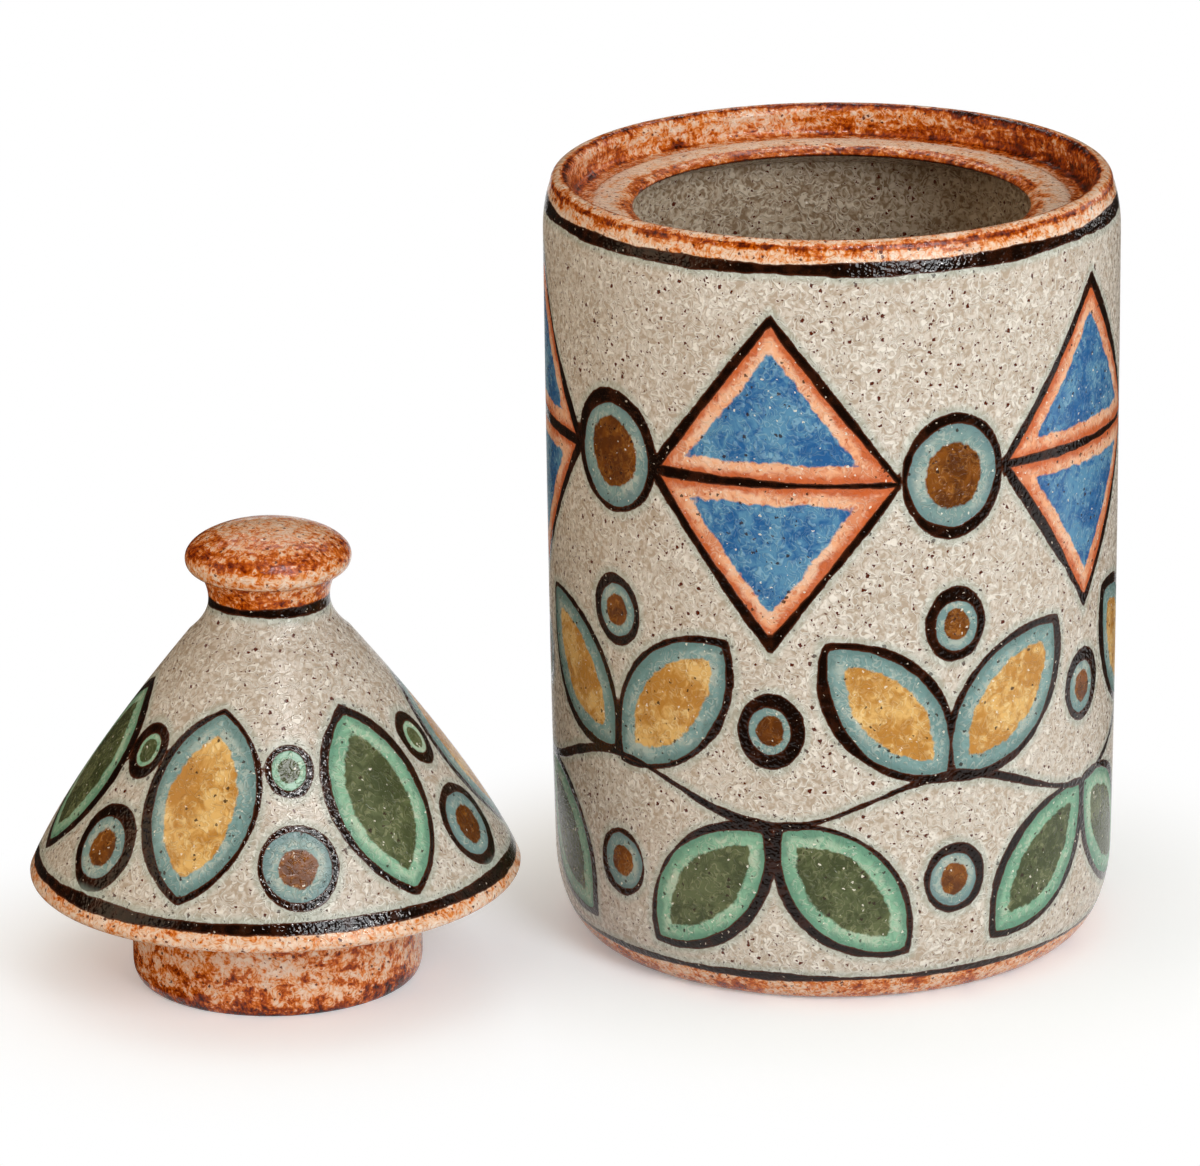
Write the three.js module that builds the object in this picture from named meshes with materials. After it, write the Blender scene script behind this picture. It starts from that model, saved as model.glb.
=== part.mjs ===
// A lidded stoneware jar: a thrown cylinder on a thick base, closed in at the top by a ring with a
// rounded lip, a sunk gallery and a narrower throat, and a hollow conical lid with a disc knob.
// The lid is off the jar and stands on its collar beside it. Millimetres, +Z up, with the origin
// at the centre of the jar's base.
import * as THREE from "three";

// Jar
const jarHeight = 232.4;
const wallRadius = 85.2; // outside, at the widest
const wallThickness = 7.6;
const bellyDraw = 1.3; // how much slimmer the wall is where the foot's rounding starts
const bellyHeight = 80; // height at which the wall has come out to its full width
const footDraw = 13; // how far the foot's rounding comes in
const footRise = 26; // how high the foot's rounding goes
const floorThickness = 9;
const floorCove = 7; // radius of the cove between floor and wall
const coveToe = 1; // thickness of the cove's lower edge

// Lip, gallery and throat
const lipThickness = 5.9;
const lipDraw = 2.3; // how far the lip stands inside the wall's widest radius
const galleryDepth = 9.2; // from the rim down to the ledge
const ledgeThickness = 8;
const galleryCove = 2.2;
const throatRadius = 58.7;
const beadWidth = 10.5; // the rolled inner edge of the ledge, up to the throat
const beadRise = 0.8; // how far the bead's crest stands over the ledge
const beadRun = 2.2; // width of the slope that leads up to the crest
const beadDrop = 4.8; // from the crest down to where the throat is upright
const ledgeChamfer = 1.4;

// Lid
const flangeClearance = 4.1; // between the lid's edge and the gallery, all round
const collarClearance = 15.4; // between the collar and the throat, all round
const collarHeight = 30.8;
const collarThickness = 6.2;
const collarFootRise = 5.5; // height of the rounding at the collar's foot
const collarFootDraw = 2.2; // and how far it comes in
const collarInnerRound = 2;
const flangeThickness = 5.7; // up to the line where the cone starts
const flangeDraw = 1.4; // how far the cone starts inside the lid's edge
const flangeRound = 2.6;
const coneHeight = 79.5; // from the top of the flange to the knob's seat
const coneFlare = 11.4; // height of the hollow flare under the neck
const coneFlareDraw = 6.7; // how far the flare narrows
const coneBulgeAt = 0.38; // place of the curve's control point along the cone's height
const coneBulge = 5.1; // how far that point stands out from a straight cone
const shellThickness = 6.5;
const shelfThickness = 6.3;
const shelfCove = 4;
const apexThickness = 12;

// Knob
const neckRadius = 18.1;
const neckHeight = 8; // from the seat up to the knob's underside
const neckFlare = 2.4; // how much the neck widens to meet the knob
const knobRadius = 24.7;
const knobCrown = 9.7; // from the widest line up to the top
const knobUnder = 4.5; // from the widest line down to the crease
const knobCrease = 2.9; // how far the crease lies inside the widest line

// Where the lid stands
const lidX = -166.7;
const lidY = -39.5;

const TURNS = 64; // facets round each turned piece
const ARC = 4; // steps of a rounding
const FAIR = 6; // steps of a long, shallow curve

const salmonGlaze = { color: 0xc98263, roughness: 0.28, metalness: 0 };
const oatmealGlaze = { color: 0xb9b0a0, roughness: 0.45, metalness: 0 };
const bareBase = { color: 0xa9896c, roughness: 0.85, metalness: 0 };

// Sizes that follow from the ones above
const footRadius = wallRadius - bellyDraw;
const seamZ = jarHeight - galleryDepth - ledgeThickness; // where the ring sits on the wall
const innerRadius = wallRadius - wallThickness;
const lipOuter = wallRadius - lipDraw;
const lipRound = lipThickness / 2;
const galleryRadius = lipOuter - lipThickness;
const ledgeZ = jarHeight - galleryDepth;
const crestRadius = throatRadius + beadWidth;

const flangeRadius = galleryRadius - flangeClearance;
const collarRadius = throatRadius - collarClearance;
const boreRadius = collarRadius - collarThickness;
const coneStartZ = collarHeight + flangeThickness;
const knobSeatZ = coneStartZ + coneHeight;
const widestZ = knobSeatZ + neckHeight + knobUnder;
const coneStart = [flangeRadius - flangeDraw, coneStartZ];
const flareStart = [neckRadius + coneFlareDraw, knobSeatZ - coneFlare];
const coneLean = Math.atan2(coneStart[0] - flareStart[0], flareStart[1] - coneStart[1]);

// The points of an elliptical rounding, from angle a0 to angle a1 in degrees.
function rounding(r, z, rx, rz, a0, a1, steps = ARC) {
  const rad = THREE.MathUtils.degToRad;
  const arc = new THREE.EllipseCurve(r, z, rx, rz, rad(a0), rad(a1), a1 < a0);
  return arc.getPoints(steps).map((p) => [p.x, p.y]);
}

// The points of a fair curve from one point to another, drawn towards a third.
function fair(from, towards, to, steps = FAIR) {
  const [a, b, c] = [from, towards, to].map(([r, z]) => new THREE.Vector2(r, z));
  return new THREE.QuadraticBezierCurve(a, b, c).getPoints(steps).map((p) => [p.x, p.y]);
}

// Turns a profile of [radius, height] points about the upright axis. The profile goes up on the
// outside, and either starts and ends on the axis or comes back to its first point.
function turned(name, profile, finish) {
  const points = [];
  for (const [r, z] of profile) {
    const last = points.at(-1);
    if (!last || last.distanceTo(new THREE.Vector2(r, z)) > 0.01) {
      points.push(new THREE.Vector2(r, z));
    }
  }
  const shape = new THREE.LatheGeometry(points, TURNS);
  shape.rotateX(Math.PI / 2);
  const mesh = new THREE.Mesh(shape, new THREE.MeshStandardMaterial(finish));
  mesh.name = name;
  return mesh;
}

// The base: a thick flat disc whose edge is the lower part of the foot's rounding.
const footCentre = [footRadius - footDraw, footRise];
const footSeam = -THREE.MathUtils.radToDeg(Math.asin(1 - floorThickness / footRise));
const base = turned(
  "jar_base",
  [
    [0, 0],
    ...rounding(...footCentre, footDraw, footRise, -90, footSeam),
    [0, floorThickness],
  ],
  bareBase,
);

// The wall: stands on the base, comes out over the foot and swells a little on its way up. Inside
// it runs down into a cove that meets the floor.
const coveRadius = innerRadius - floorCove;
const coveZ = floorThickness + coveToe + floorCove;
const wall = turned(
  "jar_wall",
  [
    [coveRadius, floorThickness],
    ...rounding(...footCentre, footDraw, footRise, footSeam, 0),
    ...fair([footRadius, footRise], [wallRadius, bellyHeight], [wallRadius, seamZ]),
    [innerRadius, seamZ],
    ...rounding(coveRadius, coveZ, floorCove, floorCove, 0, -90),
    [coveRadius, floorThickness],
  ],
  oatmealGlaze,
);

// The ring: one section holds the shoulder, the rounded lip, the sunk gallery that the lid's edge
// drops into, and the ledge with its rolled edge round the throat.
const lipCentre = [galleryRadius + lipRound, jarHeight - lipRound];
const crestZ = ledgeZ + beadRise;
const ring = turned(
  "gallery_ring",
  [
    [throatRadius + ledgeChamfer, seamZ],
    ...fair([wallRadius, seamZ], [wallRadius, ledgeZ], [lipOuter, lipCentre[1]], ARC),
    ...rounding(...lipCentre, lipRound, lipRound, 0, 180, 2 * ARC),
    ...rounding(galleryRadius - galleryCove, ledgeZ + galleryCove, galleryCove, galleryCove, 0, -90),
    [crestRadius + beadRun, ledgeZ],
    [crestRadius, crestZ],
    ...rounding(crestRadius - beadRun, crestZ - beadDrop, beadWidth - beadRun, beadDrop, 90, 180, 5),
    [throatRadius, seamZ + ledgeChamfer],
    [throatRadius + ledgeChamfer, seamZ],
  ],
  salmonGlaze,
);

// The lid's cone: a hollow shell with a closed top. Its lower edge turns in as a shelf, whose
// underside seats on the bead and carries the collar. The inside follows the outside.
const bulge = [0, 1].map((i) => THREE.MathUtils.lerp(coneStart[i], flareStart[i], coneBulgeAt));
bulge[0] += coneBulge;
const shelfZ = collarHeight + shelfThickness;
const shelfRadius = coneStart[0] - shellThickness - shelfCove * Math.tan(coneLean);
const inside = ([r, z]) => [
  r - shellThickness * Math.cos(coneLean),
  z - shellThickness * Math.sin(coneLean),
];
const cone = turned(
  "lid_cone",
  [
    [0, knobSeatZ - apexThickness],
    ...fair(inside(flareStart), inside(bulge), [shelfRadius, shelfZ + shelfCove]),
    ...rounding(shelfRadius - shelfCove, shelfZ + shelfCove, shelfCove, shelfCove, 0, -90),
    [boreRadius, shelfZ],
    [boreRadius, collarHeight],
    ...rounding(
      flangeRadius - flangeRound,
      collarHeight + flangeRound,
      flangeRound,
      flangeRound,
      -90,
      0,
    ),
    ...fair(coneStart, bulge, flareStart, 8),
    ...fair(flareStart, [neckRadius, knobSeatZ - coneFlare / 2], [neckRadius, knobSeatZ], ARC),
    [0, knobSeatZ],
  ],
  oatmealGlaze,
);

// The collar: a plain ring under the shelf, which drops into the throat and keeps the lid on. Off
// the jar the lid stands on its rounded foot.
const collar = turned(
  "lid_collar",
  [
    [boreRadius + collarInnerRound, 0],
    ...rounding(
      collarRadius - collarFootDraw,
      collarFootRise,
      collarFootDraw,
      collarFootRise,
      -90,
      0,
    ),
    [collarRadius, collarHeight],
    [boreRadius, collarHeight],
    ...rounding(
      boreRadius + collarInnerRound,
      collarInnerRound,
      collarInnerRound,
      collarInnerRound,
      180,
      270,
      3,
    ),
  ],
  salmonGlaze,
);

// The knob: a crowned disc, creased where it meets its own waisted neck.
const knob = turned(
  "lid_knob",
  [
    [0, knobSeatZ],
    ...fair(
      [neckRadius, knobSeatZ],
      [neckRadius, knobSeatZ + neckHeight / 2],
      [neckRadius + neckFlare, knobSeatZ + neckHeight],
      ARC,
    ),
    ...fair(
      [knobRadius - knobCrease, knobSeatZ + neckHeight],
      [knobRadius, knobSeatZ + neckHeight + knobUnder / 3],
      [knobRadius, widestZ],
      3,
    ),
    ...rounding(0, widestZ, knobRadius, knobCrown, 0, 90, 8),
  ],
  salmonGlaze,
);

const jar = new THREE.Group();
jar.add(base, wall, ring);

const lid = new THREE.Group();
lid.add(cone, collar, knob);
lid.position.set(lidX, lidY, 0);

const group = new THREE.Group();
group.add(jar, lid);

export default group;
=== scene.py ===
import math

import bpy
import numpy as np
from mathutils import Matrix, Vector


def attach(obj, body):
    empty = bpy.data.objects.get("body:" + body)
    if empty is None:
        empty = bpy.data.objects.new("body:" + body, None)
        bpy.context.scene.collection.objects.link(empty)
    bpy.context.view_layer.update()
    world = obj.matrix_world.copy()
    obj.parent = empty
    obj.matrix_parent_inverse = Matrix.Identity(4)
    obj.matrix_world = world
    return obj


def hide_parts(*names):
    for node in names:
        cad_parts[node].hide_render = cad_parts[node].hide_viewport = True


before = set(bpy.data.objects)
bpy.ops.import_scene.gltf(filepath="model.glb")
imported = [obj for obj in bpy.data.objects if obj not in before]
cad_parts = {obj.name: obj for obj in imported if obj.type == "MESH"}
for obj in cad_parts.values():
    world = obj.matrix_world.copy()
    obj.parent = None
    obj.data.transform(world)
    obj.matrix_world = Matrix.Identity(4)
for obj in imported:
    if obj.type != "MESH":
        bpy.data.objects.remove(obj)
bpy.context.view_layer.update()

MM = 0.001

# The camera stands 2.1 m in front of the jar, looks 18 degrees down on it through a long lens, and
# leans by a fraction of a degree, as the photograph's outlines show.
camera_place = Vector((-0.08757, -2.1389, 0.7924))
camera_pitch = 0.3106
camera_pan = 0.0085
camera_roll = -0.0118
camera_lens = 225.69

ahead = Vector((
    math.sin(camera_pan) * math.cos(camera_pitch),
    math.cos(camera_pan) * math.cos(camera_pitch),
    -math.sin(camera_pitch),
))
level = Vector((math.cos(camera_pan), -math.sin(camera_pan), 0))
upright = level.cross(ahead)
camera_right = math.cos(camera_roll) * level + math.sin(camera_roll) * upright
camera_up = math.cos(camera_roll) * upright - math.sin(camera_roll) * level

camera = bpy.data.objects.new("camera", bpy.data.cameras.new("camera"))
camera.data.lens = camera_lens
camera.data.sensor_width = 36
camera.data.clip_start = 0.1
camera.data.clip_end = 100
camera.matrix_world = Matrix.Translation(camera_place) @ Matrix(
    (camera_right, camera_up, -ahead)
).transposed().to_4x4()
bpy.context.scene.collection.objects.link(camera)
bpy.context.scene.camera = camera
bpy.context.scene.view_settings.view_transform = "Standard"


# The jar's foot is a thick disc of speckled stoneware, turned round at its edge. The edge carries
# salmon glaze up to a thin dark band; the flat underneath is wiped bare.
jar_axis = (0.0, 0.0)
wall_radius = 85.2
foot_radius = 83.9
foot_draw = 13.0
foot_rise = 26.0
floor_thickness = 9.0
foot_middle = (foot_radius - foot_draw, foot_rise)
foot_seam = -math.degrees(math.asin(1 - floor_thickness / foot_rise))
wiped_radius = 66
foot_band = (9.0, 1.0, -1)
jar_turns = 384
SKINS = ("outer", "salmon", "lined", "bare")


def arc(r, z, wide, high, start, end, steps):
    """Points of an elliptical rounding, from one angle to another in degrees."""
    turn = np.radians(np.linspace(start, end, steps + 1))
    return np.c_[r + wide * np.cos(turn), z + high * np.sin(turn)]


def straight(first, last, steps):
    return np.linspace(first, last, steps + 1)


def stretch(points, skin, thin=(0.0, 0.0)):
    """One stretch of an outline: its points, the glaze on it, and how thin that lies at its ends."""
    points = np.asarray(points, float)
    along = np.r_[0, np.cumsum(np.hypot(*np.diff(points, axis=0).T))]
    share = along / max(along[-1], 1e-9)
    thinness = thin[0] + (thin[1] - thin[0]) * share
    return np.c_[points, thinness, np.full(len(points), SKINS.index(skin))]


def unevenness(seed, depth):
    """How far a hand-turned surface lies inside its true round, by angle and height in mm."""
    draw = np.random.RandomState(seed)
    counts = (1, 2, 3, 4, 6, 9)
    waves = [(k, draw.uniform(0, 2 * math.pi), draw.uniform(-0.02, 0.02)) for k in counts]
    whole = sum(1 / k for k, _, _ in waves)

    def dent(angle, z):
        swell = sum((1 + np.cos(k * angle + phase + lean * z)) / k for k, phase, lean in waves)
        return depth * swell / (2 * whole)

    return dent


jar_dent = unevenness(3, 0.5)
far_off = 20.0


def turned(name, outline, axis, turns, dent, bands, paint=None, painted_shade=None):
    """Turns an outline in mm about an upright axis, and marks on each point what glaze lies there.

    A dent sets the surface in, a band is a middle height, half a width and the side that is salmon,
    paint adds the marks of the brushwork, and the last argument thins the glaze by angle, so it breaks to
    darker rust, as painted shade.
    """
    rows = np.vstack(outline)
    keep = np.r_[True, np.hypot(*np.diff(rows[:, :2], axis=0).T) > 1e-4]
    rows = rows[keep]
    whole = rows[0, 0] > 0
    if whole and np.hypot(*(rows[0, :2] - rows[-1, :2])) < 1e-4:
        rows = rows[:-1]
    angle, _ = np.meshgrid(np.arange(turns) * 2 * math.pi / turns, rows[:, 0])
    r, z, thin, skin = (np.repeat(column[:, None], turns, 1) for column in rows.T)
    # Painted shade: the glaze is thinned by angle, so it breaks to darker rust.
    if painted_shade:
        thin = thin + painted_shade(angle, r)
    out = r - np.minimum(r, dent(angle, z))
    points = [out * np.cos(angle) * MM + axis[0], out * np.sin(angle) * MM + axis[1], z * MM]
    points = np.stack(points, 2)

    number = np.arange(len(rows) * turns).reshape(len(rows), turns)
    if not whole:
        number[0] = number[0, 0]
        number[-1] = number[-1, 0]
    after = np.roll(number, -1, 1)
    above = np.roll(number, -1, 0)
    beyond = np.roll(after, -1, 0)
    last = len(rows) if whole else len(rows) - 1
    corners = np.stack([number, after, beyond, above], 2)[:last].reshape(-1, 4)
    used, corners = np.unique(corners, return_inverse=True)
    corners = corners.reshape(-1, 4)
    faces = [[c for i, c in enumerate(face) if c != face[i - 1]] for face in corners.tolist()]

    mesh = bpy.data.meshes.new(name)
    mesh.from_pydata(points.reshape(-1, 3)[used].tolist(), [], faces)
    mesh.shade_smooth()
    mesh.set_sharp_from_angle(angle=math.radians(38))

    is_outer = skin == SKINS.index("outer")
    side = np.full(r.shape, -far_off)
    edge = np.full(r.shape, far_off)
    for middle, half, towards in bands:
        side = np.maximum(side, (z - middle) * towards)
        edge = np.minimum(edge, np.abs(z - middle) - half)
    plain = np.where(skin == SKINS.index("salmon"), far_off, -far_off)
    marks = {
        "thin": thin,
        "salmon": np.where(is_outer, side, plain),
        "band": np.where(is_outer, edge, far_off),
        "lined": (skin == SKINS.index("lined")) * 1.0,
        "bare": (skin == SKINS.index("bare")) * 1.0,
    }
    if paint:
        marks.update(paint(angle, r, z, is_outer))
    for mark, values in marks.items():
        mesh.attributes.new(mark, "FLOAT", "POINT").data.foreach_set("value", values.ravel()[used])
    piece = bpy.data.objects.new(name, mesh)
    bpy.context.scene.collection.objects.link(piece)
    return piece


def place(tree, kind, inputs=(), **settings):
    """Adds a shader node. An input is another node's output, which is linked, or a plain value."""
    made = tree.nodes.new(kind)
    for setting, value in settings.items():
        setattr(made, setting, value)
    for socket, value in dict(inputs).items():
        if isinstance(value, bpy.types.NodeSocket):
            tree.links.new(value, made.inputs[socket])
        else:
            made.inputs[socket].default_value = value
    return made


def sums(tree, how, *values, clamp=False):
    return place(tree, "ShaderNodeMath", enumerate(values), operation=how, use_clamp=clamp).outputs[0]


def vectors(tree, how, first, second):
    """One step of arithmetic on vectors; SCALE takes a number or a value second."""
    sockets = {0: first, "Scale" if how == "SCALE" else 1: second}
    return place(tree, "ShaderNodeVectorMath", sockets, operation=how).outputs[0]


def between(tree, value, low, high, out_low=0.0, out_high=1.0):
    """Goes smoothly from one value to another while the input goes from low to high."""
    sockets = {0: value, 1: low, 2: high, 3: out_low, 4: out_high}
    return place(tree, "ShaderNodeMapRange", sockets, interpolation_type="SMOOTHSTEP").outputs[0]


def mixed(tree, share, first, second):
    sockets = {0: share, 6: first, 7: second}
    return place(tree, "ShaderNodeMix", sockets, data_type="RGBA").outputs[2]


def blended(tree, share, first, second):
    return place(tree, "ShaderNodeMix", {0: share, 2: first, 3: second}).outputs[0]


def shade(red, green, blue):
    """A colour as it is seen on a screen, 0 to 255, turned into the shader's own scale."""
    seen = np.array([red, green, blue]) / 255
    light = np.where(seen <= 0.04045, seen / 12.92, ((seen + 0.055) / 1.055) ** 2.4)
    return (*light.tolist(), 1.0)


def ramp(tree, value, stops, how="LINEAR"):
    made = place(tree, "ShaderNodeValToRGB", {0: value})
    made.color_ramp.interpolation = how
    elements = made.color_ramp.elements
    while len(elements) < len(stops):
        elements.new(1)
    for element, (spot, colour) in zip(elements, stops):
        element.position = spot
        element.color = colour
    return made.outputs[0]


def noise(tree, vector, scale, detail=2.0, rough=0.5, twist=0.0):
    sockets = {"Vector": vector, "Scale": scale, "Detail": detail}
    sockets.update({"Roughness": rough, "Distortion": twist})
    return place(tree, "ShaderNodeTexNoise", sockets).outputs[0]


def wander(tree, vector, scale, detail):
    """A direction that changes from place to place."""
    sockets = {"Vector": vector, "Scale": scale, "Detail": detail}
    return place(tree, "ShaderNodeTexNoise", sockets).outputs["Color"]


def effect(name, inputs, outputs):
    """Starts a shader node group and gives its tree, its inputs by name and its output node."""
    tree = bpy.data.node_groups.new(name, "ShaderNodeTree")
    kinds = {"Color": "NodeSocketColor", "Vector": "NodeSocketVector", "Float": "NodeSocketFloat"}
    for socket, kind, value in inputs:
        made = tree.interface.new_socket(socket, in_out="INPUT", socket_type=kinds[kind])
        made.default_value = value
    for socket, kind in outputs:
        tree.interface.new_socket(socket, in_out="OUTPUT", socket_type=kinds[kind])
    return tree, tree.nodes.new("NodeGroupInput").outputs, tree.nodes.new("NodeGroupOutput")


def put_out(tree, out, **values):
    for socket, value in values.items():
        tree.links.new(value, out.inputs[socket])


def use(tree, group, **inputs):
    """Places a node group in a tree."""
    made = place(tree, "ShaderNodeGroup", node_tree=group)
    for socket, value in inputs.items():
        if isinstance(value, bpy.types.NodeSocket):
            tree.links.new(value, made.inputs[socket])
        else:
            made.inputs[socket].default_value = value
    return made.outputs


# Curled ridges: short hooks and arcs in the glaze's relief. As colour, their pale tops are a painted
# highlight and the darker groove beside each is painted shade.
curls, given, out = effect(
    "curled_ridges",
    [("Scale", "Float", 400.0)],
    [("Ridge", "Float"), ("Groove", "Float")],
)
spot = place(curls, "ShaderNodeTexCoord").outputs["Object"]
drift = vectors(curls, "SUBTRACT", wander(curls, spot, 300.0, 1.0), (0.5, 0.5, 0.5))
moved = vectors(curls, "ADD", spot, vectors(curls, "SCALE", drift, 0.005))
cells = place(curls, "ShaderNodeTexVoronoi", {"Vector": moved, "Scale": given["Scale"]})
off_arc = sums(curls, "ABSOLUTE", sums(curls, "SUBTRACT", cells.outputs["Distance"], 0.42))
hooks = between(curls, off_arc, 0.12, 0.05)
field = noise(curls, moved, sums(curls, "MULTIPLY", given["Scale"], 0.75), 0.0)
wave = sums(curls, "PINGPONG", sums(curls, "MULTIPLY", field, 6.0), 0.5)
strokes = between(curls, wave, 0.33, 0.43)
broken = noise(curls, spot, sums(curls, "MULTIPLY", given["Scale"], 1.3), 0.0)
broken = between(curls, broken, 0.42, 0.55)
hooks = sums(curls, "MULTIPLY", hooks, broken)
strokes = sums(curls, "MULTIPLY", strokes, sums(curls, "SUBTRACT", 1.0, broken))
# The pale mask raises the relief and, as colour, is a painted highlight.
pale = sums(curls, "MAXIMUM", hooks, strokes)
# The groove mask is painted shade beside each ridge.
dark = sums(curls, "MULTIPLY", between(curls, off_arc, 0.12, 0.2), between(curls, wave, 0.26, 0.08))
put_out(curls, out, Ridge=pale, Groove=dark)

# Iron specks: grains of iron in the clay that melt up through the glaze as dark dots. A pale ring round
# some of them is a painted highlight on the dot's edge.
specks, given, out = effect(
    "iron_specks",
    [("Scale", "Float", 420.0), ("Size", "Float", 0.3), ("Share", "Float", 0.7)],
    [("Speck", "Float"), ("Rim", "Float")],
)
spot = place(specks, "ShaderNodeTexCoord").outputs["Object"]
drift = vectors(specks, "SCALE", wander(specks, spot, 1500.0, 0.0), 0.0009)
moved = vectors(specks, "ADD", spot, drift)
grains = place(specks, "ShaderNodeTexVoronoi", {"Vector": moved, "Scale": given["Scale"]})
chance = place(specks, "ShaderNodeSeparateColor", {0: grains.outputs["Color"]}).outputs
kept = sums(specks, "LESS_THAN", chance[0], given["Share"])
reach = sums(specks, "MULTIPLY", given["Size"], sums(specks, "MULTIPLY_ADD", chance[1], 0.7, 0.5))
reach = sums(specks, "MULTIPLY", reach, sums(specks, "MULTIPLY", given["Scale"], MM))
depth = sums(specks, "DIVIDE", grains.outputs["Distance"], reach)
speck = sums(specks, "MULTIPLY", between(specks, depth, 1.0, 0.8), kept)
# The pale ring: painted highlight.
rim = sums(specks, "MULTIPLY", between(specks, depth, 2.1, 1.1), kept)
rim = sums(specks, "MULTIPLY", rim, sums(specks, "GREATER_THAN", chance[2], 0.55))
put_out(specks, out, Speck=speck, Rim=sums(specks, "SUBTRACT", rim, speck, clamp=True))

# Turned coordinates: they run long round the axis and short across, so that a pattern lies in
# streaks as a turning brush or a thumb leaves it.
streaked, given, out = effect(
    "turned_coordinates",
    [("Axis", "Vector", (0, 0, 0)), ("Round", "Float", 60.0), ("Across", "Float", 500.0)],
    [("Vector", "Vector")],
)
spot = place(streaked, "ShaderNodeTexCoord").outputs["Object"]
offset = vectors(streaked, "SUBTRACT", spot, given["Axis"])
parts = place(streaked, "ShaderNodeSeparateXYZ", {0: offset}).outputs
flat = place(streaked, "ShaderNodeCombineXYZ", {0: parts[0], 1: parts[1]}).outputs[0]
radius = place(streaked, "ShaderNodeVectorMath", {0: flat}, operation="LENGTH").outputs["Value"]
across = sums(streaked, "SUBTRACT", radius, parts[2])
across = sums(streaked, "MULTIPLY", across, given["Across"])
wide = vectors(streaked, "SCALE", flat, given["Round"])
wide = place(streaked, "ShaderNodeSeparateXYZ", {0: wide}).outputs
path = place(streaked, "ShaderNodeCombineXYZ", {0: wide[0], 1: wide[1], 2: across})
put_out(streaked, out, Vector=path.outputs[0])

# Salmon glaze: glossy, pale pink where it lies thick and breaking to rust brown where it is thin.
salmon, given, out = effect(
    "salmon_glaze",
    [
        ("Thin", "Float", 0.3),
        ("Axis", "Vector", (0, 0, 0)),
        ("Mottle", "Float", 0.5),
        ("Streak", "Float", 0.6),
    ],
    [("Color", "Color"), ("Roughness", "Float"), ("Height", "Float")],
)
spot = place(salmon, "ShaderNodeTexCoord").outputs["Object"]
path = use(salmon, streaked, Axis=given["Axis"], Round=75.0, Across=380.0)["Vector"]
streak = noise(salmon, path, 1.0, 3.0, 0.6, 0.4)
patch = noise(salmon, spot, 150.0, 5.0, 0.75, 0.6)
wrinkle = use(salmon, curls, Scale=380.0)
fine = noise(salmon, spot, 900.0, 1.0)
fall = sums(salmon, "MULTIPLY", sums(salmon, "SUBTRACT", streak, 0.5), given["Streak"])
spread = sums(salmon, "MULTIPLY", sums(salmon, "SUBTRACT", patch, 0.5), given["Mottle"])
grain = sums(salmon, "MULTIPLY", sums(salmon, "SUBTRACT", fine, 0.5), 0.6)
curds = place(salmon, "ShaderNodeTexVoronoi", {"Vector": spot, "Scale": 420.0}, feature="SMOOTH_F1")
curds = curds.outputs["Distance"]
grain = sums(salmon, "MULTIPLY_ADD", sums(salmon, "SUBTRACT", curds, 0.4), 0.45, grain)
# The ridges pale the glaze a little and the grooves darken it: painted highlight and painted shade.
grain = sums(salmon, "MULTIPLY_ADD", wrinkle["Ridge"], -0.05, grain)
grain = sums(salmon, "MULTIPLY_ADD", wrinkle["Groove"], 0.14, grain)
spread = sums(salmon, "ADD", fall, spread)
breaking = sums(salmon, "ADD", spread, sums(salmon, "ADD", grain, given["Thin"]))
ground = ramp(salmon, breaking, [
    (0.0, shade(234, 212, 193)),
    (0.28, shade(227, 178, 141)),
    (0.4, shade(220, 144, 84)),
    (0.5, shade(204, 106, 26)),
    (0.62, shade(170, 70, 0)),
    (0.78, shade(112, 34, 0)),
    (1.0, shade(44, 10, 0)),
])
# Where the glaze is pale, the ridges' pale tops are painted highlight and the dark beside them painted
# shade.
pale = sums(salmon, "MULTIPLY", between(salmon, breaking, 0.55, 0.35), 0.4)
ridges = sums(salmon, "MULTIPLY", wrinkle["Ridge"], pale)
grooves = sums(salmon, "MULTIPLY", wrinkle["Groove"], pale)
ground = mixed(salmon, ridges, ground, shade(236, 218, 202))
ground = mixed(salmon, grooves, ground, shade(176, 110, 64))
dots = use(salmon, specks, Scale=380.0, Size=0.5, Share=1.0)
grit = use(salmon, specks, Scale=640.0, Size=0.3, Share=0.9)
ground = mixed(salmon, sums(salmon, "MULTIPLY", grit["Speck"], 0.8), ground, shade(130, 50, 6))
ground = mixed(salmon, sums(salmon, "MULTIPLY", dots["Speck"], 0.92), ground, shade(84, 22, 4))
relief = sums(salmon, "MULTIPLY", streak, 0.25)
relief = sums(salmon, "MULTIPLY_ADD", fine, 0.12, relief)
relief = sums(salmon, "MULTIPLY_ADD", patch, 0.3, relief)
relief = sums(salmon, "MULTIPLY_ADD", curds, -0.25, relief)
relief = sums(salmon, "MULTIPLY_ADD", wrinkle["Ridge"], 0.14, relief)
relief = sums(salmon, "MULTIPLY_ADD", dots["Speck"], -0.12, relief)
gloss = between(salmon, patch, 0.35, 0.7, 0.05, 0.12)
put_out(salmon, out, Color=ground, Roughness=gloss, Height=relief)

# Dark line: iron oxide laid on with a brush, uneven at its edges, brown where it is thin, and with a
# halo where its oxide ran into the glaze beside it.
brushed, given, out = effect(
    "brushed_line",
    [("Distance", "Float", 5.0)],
    [("Line", "Float"), ("Color", "Color"), ("Halo", "Float"), ("Height", "Float")],
)
spot = place(brushed, "ShaderNodeTexCoord").outputs["Object"]
load = sums(brushed, "SUBTRACT", noise(brushed, spot, 26.0, 0.0), 0.5)
slow = sums(brushed, "SUBTRACT", noise(brushed, spot, 170.0, 1.0), 0.5)
grain = noise(brushed, spot, 800.0, 1.0)
away = sums(brushed, "MULTIPLY_ADD", load, 2.6, given["Distance"])
away = sums(brushed, "MULTIPLY_ADD", slow, 1.0, away)
line = between(brushed, sums(brushed, "MULTIPLY_ADD", grain, 0.35, away), 0.32, 0.02)
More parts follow.
